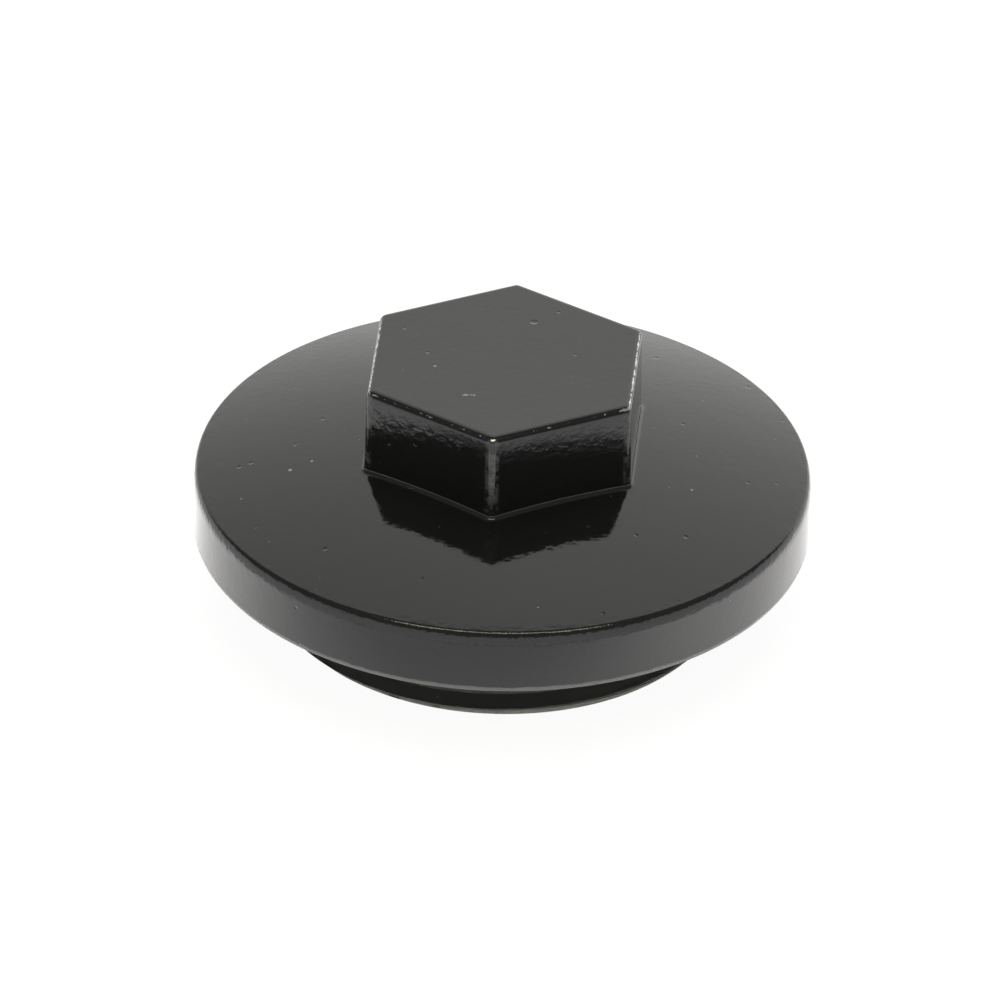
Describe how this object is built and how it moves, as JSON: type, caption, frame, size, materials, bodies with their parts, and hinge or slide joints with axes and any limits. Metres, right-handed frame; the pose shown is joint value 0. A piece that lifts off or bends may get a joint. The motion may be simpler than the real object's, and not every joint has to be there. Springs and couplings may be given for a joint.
{
  "type": "threaded adjuster plug",
  "caption": "Screw-in plug with a hexagon on a low domed flange, a short fine thread below, and a rubber sealing ring in a groove under the flange.",
  "frame": {"origin": "middle of the threaded end, on the face that the plug stands on", "axes": "+Z along the thread's axis, from the threaded end up to the hexagon; +Y towards a corner of the hexagon"},
  "size_m": [0.0395, 0.0394, 0.0177],
  "materials": {
    "black_coating": "gloss",
    "ring_rubber": "matte"
  },
  "bodies": {
    "root": {"plug_body": "black_coating", "sealing_ring": "ring_rubber"}
  },
  "joints": []
}
